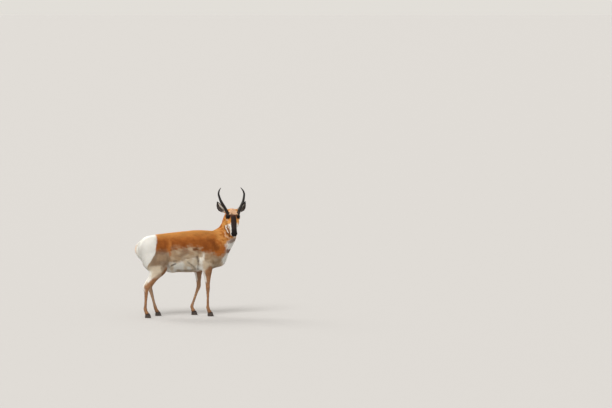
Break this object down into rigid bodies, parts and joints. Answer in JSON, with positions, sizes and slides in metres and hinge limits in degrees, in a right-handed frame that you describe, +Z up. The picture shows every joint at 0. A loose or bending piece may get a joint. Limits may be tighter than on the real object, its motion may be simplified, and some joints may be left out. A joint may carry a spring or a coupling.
{
  "type": "pronghorn",
  "caption": "Life-size pronghorn buck standing square, its head turned back over its right shoulder, with hooked black horns, a white rump patch and cloven hooves.",
  "frame": {"origin": "on the floor, under the middle of the animal's box", "axes": "+X along the body towards the chest, +Y to the animal's left, +Z up"},
  "size_m": [1.1936, 0.4088, 1.3626],
  "materials": {
    "coat_tan": "short rusty tan hair",
    "coat_white": "long white hair",
    "coat_leg": "short brown hair",
    "coat_dark": "short dark hair",
    "horn": "ridged black horn",
    "hoof": "black hoof horn",
    "eye": "wet and glossy"
  },
  "bodies": {
    "root": {"head": "coat_dark", "neck": "coat_tan", "shoulders": "coat_tan", "barrel": "coat_tan", "rump": "coat_white", "tail": "coat_white", "ear_left": "coat_tan", "ear_right": "coat_tan", "eye_left": "eye", "eye_right": "eye", "horn_left": "horn", "horn_right": "horn", "leg_fore_left_forearm": "coat_leg", "leg_fore_left_cannon": "coat_leg", "leg_fore_right_forearm": "coat_leg", "leg_fore_right_cannon": "coat_leg", "leg_hind_left_gaskin": "coat_leg", "leg_hind_left_cannon": "coat_leg", "leg_hind_right_gaskin": "coat_leg", "leg_hind_right_cannon": "coat_leg", "hoof_fore_left_left_toe": "hoof", "hoof_fore_left_right_toe": "hoof", "hoof_fore_right_left_toe": "hoof", "hoof_fore_right_right_toe": "hoof", "hoof_hind_left_left_toe": "hoof", "hoof_hind_left_right_toe": "hoof", "hoof_hind_right_left_toe": "hoof", "hoof_hind_right_right_toe": "hoof"}
  },
  "joints": []
}
